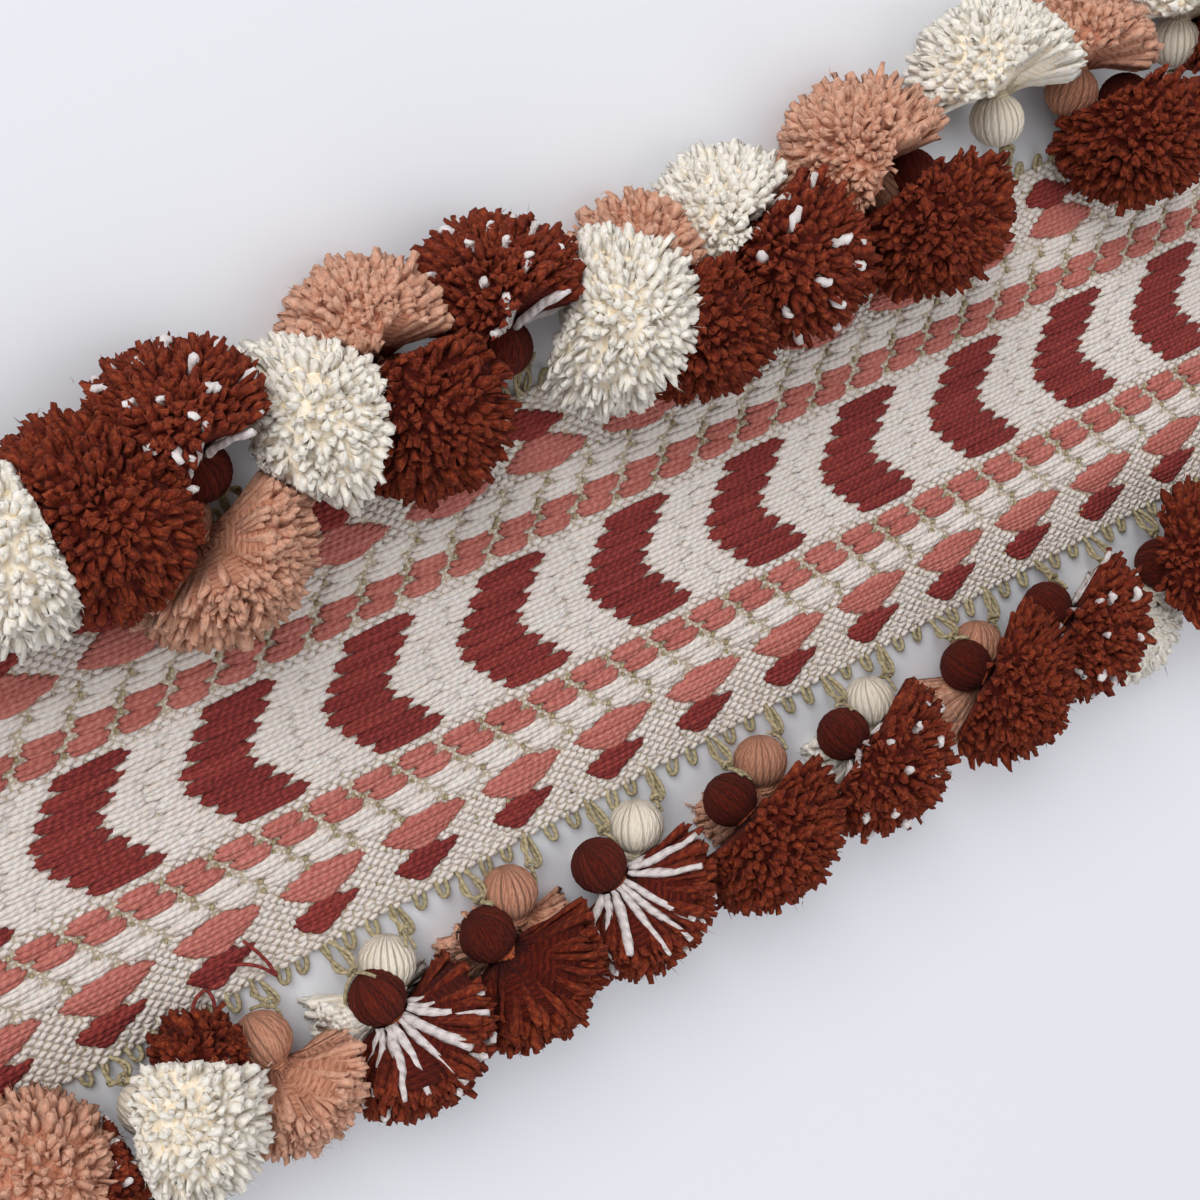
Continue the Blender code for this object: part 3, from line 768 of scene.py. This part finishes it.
def plain_strands(tassel, others, planes, ways, shape):
    """Plain strands of a skirt, each a three-sided tube with a blunt, broken end."""
    part, half = shape.T
    count, rings = len(ways), len(shape)
    reach = tassel.radius * (1 + TRIM * chance.standard_normal(count))
    paths, outward = strand_paths(tassel, ways, part, reach)
    paths = press(paths, half, tassel, others, planes)
    size = half * (1 + 0.16 * chance.standard_normal((count, 1)))
    wide = size * (1 + 0.12 * chance.standard_normal((count, rings)))
    upright = np.cross(outward, chance.standard_normal((count, 3)))
    points = tubes(paths, wide, wide * 0.95, upright, 3)
    points[:, -2:] += chance.standard_normal((count, 2, 3, 3)) * 0.18
    # Painted shade: each strand is painted darker towards the waist, its depth rising from the
    # root to the end
    return paths, SimpleNamespace(points=points.reshape(-1, 3),
                                  faces=tube_faces(count, rings, 3), material=0,
                                  facts=yarn_facts(paths, 3, shade_depth=1.15 * part[None, :]))


def packed_yarn(tassel, others, planes):
    """The strands behind the ends, packed so close that they are one soft body, painted darker as
    painted shade.
    """
    axes = own_axes(tassel.axis)
    polar, spin = np.meshgrid(FILL_ANGLES, 2 * np.pi * np.arange(FILL_SIDES) / FILL_SIDES,
                              indexing="ij")
    ways = np.stack([np.sin(polar) * np.cos(spin), np.sin(polar) * np.sin(spin),
                     np.cos(polar)], -1)
    ways = lay_open(tassel, ways)
    reach = tassel.radius * (FILL + 0.02 * chance.standard_normal(polar.shape))
    neck = np.stack([NECK * np.cos(spin[0]), NECK * np.sin(spin[0]), 0 * spin[0] + 0.5], -1)
    points = np.concatenate([ways * reach[..., None], neck[None]]) @ axes + tassel.waist
    points = press(points, np.full(FILL_SIDES, 0.9), tassel, others, planes)
    total = points.shape[0] * FILL_SIDES
    about = np.stack([np.cos(4 * spin), np.sin(4 * spin), polar * tassel.radius], -1)
    about = np.concatenate([about.reshape(-1, 3), np.zeros((FILL_SIDES, 3))])
    facts = {"about": about, "own": np.full(total, 0.5), "shade_depth": np.full(total, FILL_SHADE)}
    return SimpleNamespace(points=points.reshape(-1, 3),
                           faces=tube_faces(1, points.shape[0], FILL_SIDES), facts=facts,
                           material=0)


def white_strands(tassel, others, planes):
    """The thick white two-ply strands of a flecked skirt: some lie along its outside from
    the waist to the rim, and others lean over the cut ends of the rust yarn."""
    axes = own_axes(tassel.axis)
    part = WHITE_PARTS[None, :, None]
    spin = chance.uniform(-0.3, 0.3, WHITE_OUTSIDE) + 0.5 + np.arange(WHITE_OUTSIDE)
    spin *= (-np.pi if tassel.lying else 2 * np.pi) / WHITE_OUTSIDE
    level = np.cos(np.radians(chance.uniform(70, 92, WHITE_OUTSIDE)))
    flat = np.sqrt(1 - level ** 2)
    ways = lay_open(tassel, np.stack([flat * np.cos(spin), flat * np.sin(spin), level], -1))
    reach = tassel.radius * (1.0 + 0.04 * chance.standard_normal(WHITE_OUTSIDE))
    outside, _ = strand_paths(tassel, ways, WHITE_PARTS, reach, proud=1.2)
    across = np.stack([np.cos(spin), np.sin(spin), 0 * spin - 0.8], -1) @ axes
    outside += across[:, None] * 1.1 * np.sin(np.pi * (0.1 + 0.75 * part))
    ways = lay_open(tassel, strand_ways(WHITE_FACE, 72.0))
    lean = ways * (1.0, 1.0, 0.0) + 0.1 * chance.standard_normal((WHITE_FACE, 3))
    over = ways + lean * chance.uniform(0.1, 0.5, (WHITE_FACE, 1))
    over /= np.linalg.norm(over, axis=1, keepdims=True)
    foot, crest, tip = (tassel.waist + way @ axes * tassel.radius * far for way, far in
                        ((ways, 0.75), (ways, 1.06), (over, 1.03)))
    face = ((1 - part) ** 2 * foot[:, None] + 2 * part * (1 - part) * crest[:, None]
            + part ** 2 * tip[:, None])
    paths = np.concatenate([outside, face])
    count, rings = len(paths), len(WHITE_PARTS)
    size = 0.48 + 0.26 * np.clip(WHITE_PARTS / 0.3, 0, 1)
    size[-1] = 0.5
    paths = press(paths, size, tassel, others, planes)
    wide = size * (1 + 0.1 * chance.standard_normal((count, 1))) * np.ones((1, rings))
    length = np.linalg.norm(np.diff(paths, axis=1), axis=2)
    turns = 2 * np.pi / WHITE_LAY * np.pad(np.cumsum(length, 1), ((0, 0), (1, 0)))
    turns = turns + chance.uniform(0, 6, (count, 1))
    points = tubes(paths, wide, wide, chance.standard_normal((count, 3)), 6, 0.3, turns)
    # Painted shade: the white strands are painted darker towards the waist
    shade_depth = np.clip(0.4 + WHITE_PARTS, 0, 1)[None, :]
    return SimpleNamespace(points=points.reshape(-1, 3), faces=tube_faces(count, rings, 6),
                           facts=yarn_facts(paths, 6, shade_depth=shade_depth), material=1)


def loose_fibres(paths, count):
    """Fine pointed fibres that stand off the strands' outer halves, each a closed spike."""
    pick = chance.integers(0, len(paths), count)
    part = chance.uniform(0.2, 1.0, count)[:, None]
    root = paths[pick, -2] * (1 - part) + paths[pick, -1] * part
    way = paths[pick, -1] - paths[pick, -2]
    way /= np.linalg.norm(way, axis=1, keepdims=True) + 1e-9
    way = way + chance.standard_normal((count, 3)) * 0.55
    root = root + chance.standard_normal((count, 3)) * 0.45
    base = root[:, None] + chance.standard_normal((count, 3, 3)) * FUZZ_SIZE
    tip = root + way * chance.uniform(0.5, 1.5, (count, 1))
    points = np.concatenate([base, tip[:, None]], 1)
    first = 4 * np.arange(count)[:, None]
    faces = np.concatenate([first + np.array(corners) for corners in
                            ((0, 2, 1), (0, 1, 3), (1, 2, 3), (2, 0, 3))])
    total = 4 * count
    facts = {"about": np.tile((1.0, 0.0, 0.0), (total, 1)),
             "own": np.repeat(chance.random(count), 4), "shade_depth": np.full(total, 1.15)}
    return SimpleNamespace(points=points.reshape(-1, 3), faces=[faces], facts=facts, material=0)


def build_skirt(tassel, others):
    """All the strands of one skirt; a flecked one has thick white strands among the rust."""
    planes = meeting_planes(tassel, others)
    ways = strand_ways(round(YARNS_PER_AREA * tassel.radius ** 2), SPREAD)
    face = ways[:, 2] > math.cos(math.radians(FACE_ANGLE[tassel.lying]))
    ways = lay_open(tassel, ways)
    parts = [packed_yarn(tassel, others, planes)]
    for chosen, shape in ((face, FACE_STRAND), (~face, SIDE_STRAND)):
        paths, strands = plain_strands(tassel, others, planes, ways[chosen], shape)
        parts += [strands, loose_fibres(paths, FUZZ // 2)]
    if tassel.yarn == "fleck":
        parts.append(white_strands(tassel, others, planes))
    return parts


# The heads and waists
# The head is the top of the same hank, drawn over a small core and smoothed into a ball, so
# its yarns run like meridians from the loop down to the waist. The waist is whipped three
# times with a finer, brighter thread.

HEAD_YARNS = 22
YARN_STEPS = 3          # points across one yarn of the head
HEAD_STEPS = 9
HEAD_SWELL = 0.045      # how far each yarn stands out of the ball
WHIP_TURNS = 3
WHIP_SIZE = 0.36

# Fine twisted thread in a brighter shade of the tassel's own colour, with a slight lustre
rust_whipping = spun_yarn("rust_whipping_thread", ("#7a2f18", "#a84a28", "#c4663c", "#d98558"),
                          2.2, 0.08, 0.08, 0.05, 0.1)
cream_whipping = spun_yarn("cream_whipping_thread", ("#a59676", "#cfc2a2", "#e0d5ba", "#efe6cf"),
                           2.2, 0.08, 0.08, 0.05, 0.1)
peach_whipping = spun_yarn("peach_whipping_thread", ("#7d4a34", "#ad7356", "#c48c6e", "#d9a283"),
                           2.2, 0.08, 0.08, 0.05, 0.1)
WHIPPING = {"rust": rust_whipping, "fleck": rust_whipping, "cream": cream_whipping,
            "peach": peach_whipping}


def build_head(tassel):
    """The ball: rings from the crown to the neck, with a ridge for every yarn."""
    axes = own_axes(tassel.axis)
    segments = HEAD_YARNS * YARN_STEPS
    angle = 2 * np.pi * np.arange(segments) / segments
    polar = np.radians(np.linspace(10, 158, HEAD_STEPS))
    part = np.linspace(0, 1, HEAD_STEPS)
    lean = chance.uniform(-0.5, 0.5)
    spin = angle[None, :] + lean * np.sin(part * np.pi / 2)[:, None] + chance.uniform(0, 6)
    ridge = 1 - np.abs(np.arange(segments) % YARN_STEPS - 1)
    girth = BALL * np.sin(polar)[:, None] * (1 + HEAD_SWELL * (ridge[None, :] - 0.5))
    girth = np.maximum(girth, NECK * 0.95 * (0.7 + 0.3 * ridge[None, :]) * (part[:, None] > 0.5))
    height = -BALL * np.cos(polar)[:, None] * np.ones_like(girth)
    across = np.stack([girth * np.cos(spin), girth * np.sin(spin), height], -1)
    neck = np.stack([NECK * np.cos(spin[-1]), NECK * np.sin(spin[-1]),
                     np.full(segments, WAIST + 0.9)], -1)
    points = np.concatenate([across, neck[None]]) @ axes + tassel.ball
    turn = 2 * np.pi * (np.arange(segments) % YARN_STEPS) / YARN_STEPS
    along = np.append(polar * BALL, polar[-1] * BALL + 2.0)
    about = np.stack(np.broadcast_arrays(np.cos(turn)[None, :], np.sin(turn)[None, :],
                                         along[:, None]), -1)
    shape = (HEAD_STEPS + 1, segments)
    own = np.broadcast_to(np.repeat(chance.random(HEAD_YARNS), YARN_STEPS), shape)
    facts = {"about": about.reshape(-1, 3), "own": own.ravel(), "shade_depth": np.full(own.size, 0.5)}
    return SimpleNamespace(points=points.reshape(-1, 3),
                           faces=tube_faces(1, HEAD_STEPS + 1, segments), facts=facts,
                           material=0)


def build_whipping(tassel):
    """Three turns of thread round the waist."""
    axes = own_axes(tassel.axis)
    steps = 12 * WHIP_TURNS + 1
    turn = np.linspace(0, 2 * np.pi * WHIP_TURNS, steps)
    climb = np.linspace(-0.9, 0.9, steps)
    path = np.stack([(NECK + 0.3) * np.cos(turn), (NECK + 0.3) * np.sin(turn), climb], -1)
    path = (path @ axes + tassel.waist)[None]
    size = np.full((1, steps), WHIP_SIZE)
    points = tubes(path, size, size, tassel.axis[None], 4)
    return SimpleNamespace(points=points.reshape(-1, 3), faces=tube_faces(1, steps, 4),
                           facts=yarn_facts(path, 4), material=2)


def build_tassel(tassel, others):
    parts = build_skirt(tassel, others) + [build_head(tassel), build_whipping(tassel)]
    points, faces, which, facts = gather(parts)
    points[:, 2] = np.maximum(points[:, 2], 0.05)
    materials = [YARNS[tassel.yarn], white_fleck, WHIPPING[tassel.yarn]]
    piece = add_piece("pompom_" + tassel.name, points, faces, materials,
                      which, facts)
    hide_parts("tassel_" + tassel.name)
    return piece


for row in tassels.values():
    for tassel in row:
        near = [other for other in row if abs(other.number - tassel.number) <= NEIGHBOURS]
        build_tassel(tassel, near)


# The looped braid
# The khaki weft turns back outside each selvedge and leaves loops: two small ones and a
# long one in every tassel's pitch. The long one is two doubled threads that stand apart in
# an eye and run down to the ball, where a knotted end of the same thread holds them.

LOOP_THREAD = 0.47      # half thickness
EDGE = BAND_WIDTH / 2
SMALL_REACH = 2.6       # how far a small loop stands out of the selvedge
SMALL_HALF = 1.3        # half of its width
EYE_HALF = 1.35         # half of the long loop's widest opening
ROOT_HALF = 0.75        # half of its width at the selvedge
KNOT_HALF = 0.4         # and at the knot

# The braid's thread is thicker than the weft, softly twisted, khaki, and a little lighter
khaki_loop = spun_yarn("khaki_loop_cotton", ("#75694c", "#a09272", "#bbad89", "#d3c6a3"),
                       2.6, 0.12, 0.14, 0.12, 0.03)


def small_loops():
    """Open loops of one thread, each leaning its own way."""
    paths = []
    turn = np.linspace(0, np.pi, 9)
    for side, row in tassels.items():
        for tassel in row:
            for third in (-1, 1):
                x = tassel.root[0] + third * PITCH / 3 + chance.uniform(-0.5, 0.5)
                lean = chance.uniform(-0.5, 0.5)
                reach = SMALL_REACH * chance.uniform(0.85, 1.15)
                lift = chance.uniform(0.2, 1.3)
                wide = SMALL_HALF * chance.uniform(0.85, 1.15)
                out = np.sin(turn)
                paths.append(np.stack([
                    x - wide * np.cos(turn) * (0.65 + 0.35 * out) + lean * out,
                    side * (EDGE - 0.9 + (reach + 0.9) * out ** 0.8),
                    0.75 + lift * out + 0.25 * np.cos(turn)], -1))
    return np.array(paths)


def long_loops():
    """Two doubled threads from the selvedge to the knot, apart in the middle."""
    paths = []
    part = np.linspace(0, 1, 10)
    for side, row in tassels.items():
        for tassel in row:
            run = tassel.knot - tassel.root
            sideways = unit(np.cross(run, (0.0, 0.0, 1.0)))
            over = unit(np.cross(sideways, run))
            open_by = EYE_HALF * chance.uniform(0.6, 1.15)
            for leg in (-1, 1):
                for twin in (-1, 1):
                    line = tassel.root + run * part[:, None]
                    line[:, 1] -= side * 1.9 * (1 - part) ** 3
                    line[:, 2] += 0.9 * np.sin(part * np.pi)
                    apart = ROOT_HALF + (KNOT_HALF - ROOT_HALF) * part
                    apart = leg * (apart + open_by * np.sin(part * np.pi) ** 1.3)
                    wind = part * 5 + chance.uniform(0, 0.6)
                    line += (apart + 0.4 * twin * np.cos(wind))[:, None] * sideways
                    line += (0.4 * twin * np.sin(wind))[:, None] * over
                    line[:, 2] = np.maximum(line[:, 2], LOOP_THREAD)
                    paths.append(line)
    return np.array(paths)


def knots():
    """A ring of thread round the loop's end, and two short tails over the ball."""
    rings, tails = [], []
    turn = np.linspace(0, 2 * np.pi, 13)
    part = np.linspace(0, 1, 7)
    for row in tassels.values():
        for tassel in row:
            axes = own_axes(unit(tassel.knot - tassel.root))
            ring = np.stack([1.0 * np.cos(turn), 0.85 * np.sin(turn), 0.15 * np.cos(turn)], -1)
            rings.append(ring @ axes + tassel.knot - axes[2] * 0.3)
            for _ in range(2):
                way = unit(tassel.axis + 0.9 * chance.standard_normal(3))
                from_ball = unit(tassel.knot - tassel.ball)
                bent = from_ball + part[:, None] * way * chance.uniform(0.4, 0.9)
                bent /= np.linalg.norm(bent, axis=1)[:, None]
                tails.append(tassel.ball + bent * (BALL + 0.75 - 0.3 * part[:, None]))
    return np.array(rings), np.array(tails)


def thread_part(paths, size, material=0, sides=6):
    """Plied thread along many paths, as a part to join."""
    count, rings = paths.shape[:2]
    thickness = np.full((count, rings), size)
    upright = np.tile((0.05, 0.1, 1.0), (count, 1))
    points = tubes(paths, thickness, thickness, upright, sides)
    return SimpleNamespace(points=points.reshape(-1, 3), faces=tube_faces(count, rings, sides),
                           facts=yarn_facts(paths, sides), material=material)


knot_rings, knot_tails = knots()
points, faces, which, facts = gather([
    thread_part(small_loops(), LOOP_THREAD), thread_part(long_loops(), LOOP_THREAD * 0.8),
    thread_part(knot_rings, 0.36), thread_part(knot_tails, 0.34)])
loops = add_piece("khaki_loops", points, faces, [khaki_loop], which, facts)
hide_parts("braid_front", "braid_back")


# The stray ends
# Two ends of the deep red warp have worked loose at the front selvedge, near the trim's left
# end, and stand up in small loops.

STRAY_SIZE = 0.34
ROUND_LOOP = [(-103.4, -34.4, 2.0), (-105.6, -34.5, 3.0), (-107.0, -36.5, 3.0),
              (-107.0, -39.8, 2.6), (-105.4, -41.1, 2.4), (-103.6, -39.3, 2.6),
              (-103.0, -36.4, 3.0), (-103.1, -34.6, 2.0)]
POINTED_LOOP = [(-98.6, -32.4, 2.0), (-96.1, -32.9, 3.4), (-93.7, -34.6, 4.0),
                (-91.7, -37.3, 4.0), (-92.2, -35.6, 4.3), (-92.5, -34.2, 4.2),
                (-93.8, -31.2, 4.0), (-94.7, -29.5, 2.4)]


def smooth_path(marks, steps):
    """A curve through the marks, drawn with a Catmull-Rom spline."""
    marks = np.array([marks[0], *marks, marks[-1]], float)
    place = np.linspace(0, len(marks) - 3.0001, steps)
    first = place.astype(int)
    t = (place - first)[:, None]
    a, b, c, d = (marks[first + shift] for shift in range(4))
    return 0.5 * (2 * b + (c - a) * t + (2 * a - 5 * b + 4 * c - d) * t ** 2
                  + (3 * b - 3 * c + d - a) * t ** 3)


stray_paths = np.array([smooth_path(marks, 26) for marks in (ROUND_LOOP, POINTED_LOOP)])
stray = thread_part(stray_paths, STRAY_SIZE)
add_piece("stray_red_ends", stray.points, stray.faces, [deep_red_cotton], None,
          stray.facts)


# The table, the light and the view
# The trim lies on a plain pale table under soft daylight from the upper left of the picture.
# The camera looks down on the band from its left end, at the photograph's angle.

FLOOR_SIZE = 6.0
EYE = Vector((-209.1, 159.6, 362.1))
LOOK = Vector((0.445, -0.368, -0.817))
RIGHT = Vector((0.804, -0.238, 0.545))
LENS = 75.0
SENSOR = 36.0


def pale_table():
    """Matt laminate in a cool off-white, with a trace of unevenness in its shade."""
    made = new_material("pale_table_laminate")
    tree = made.node_tree
    place = add_node(tree, "ShaderNodeTexCoord", {}, {}).outputs["Object"]
    noise = add_node(tree, "ShaderNodeTexNoise", {}, {"Vector": place, "Scale": 3.0})
    colour = blend_colours(tree, noise.outputs["Fac"], ("#e4e6ea", "#e8e9ee"))
    shader = tree.nodes["Principled BSDF"]
    tree.links.new(colour, shader.inputs["Base Color"])
    shader.inputs["Roughness"].default_value = 0.8
    return made


half = FLOOR_SIZE / 2
floor_mesh = bpy.data.meshes.new("floor")
floor_mesh.from_pydata([(-half, -half, 0), (half, -half, 0), (half, half, 0), (-half, half, 0)],
                       [], [(0, 1, 2, 3)])
floor_mesh.materials.append(pale_table())
floor = bpy.data.objects.new("floor", floor_mesh)
bpy.context.scene.collection.objects.link(floor)


def soft_box(name, place, size, power):
    """A square studio light that looks at the middle of the trim."""
    lamp = bpy.data.lights.new(name, "AREA")
    lamp.energy = power
    lamp.size = size
    made = bpy.data.objects.new(name, lamp)
    made.location = place
    made.rotation_euler = (-Vector(place)).to_track_quat("-Z", "Y").to_euler()
    bpy.context.scene.collection.objects.link(made)
    return made


soft_box("window_light", (-1.15, 1.75, 1.55), 1.5, 44.0)
soft_box("fill_light", (0.9, -0.5, 1.8), 1.6, 8.0)

world = bpy.data.worlds.new("studio")
world.use_nodes = True
world.node_tree.nodes["Background"].inputs["Color"].default_value = linear("#f4f5fa")
world.node_tree.nodes["Background"].inputs["Strength"].default_value = 0.6
bpy.context.scene.world = world
bpy.context.scene.view_settings.view_transform = "Standard"

back = -LOOK.normalized()
right = RIGHT.normalized()
up = back.cross(right)
pose = Matrix((right, up, back)).transposed().to_4x4()
pose.translation = (EYE + MIDDLE) * MM
lens = bpy.data.cameras.new("camera")
lens.lens = LENS
lens.sensor_width = SENSOR
camera = bpy.data.objects.new("camera", lens)
camera.matrix_world = pose
bpy.context.scene.collection.objects.link(camera)
bpy.context.scene.camera = camera
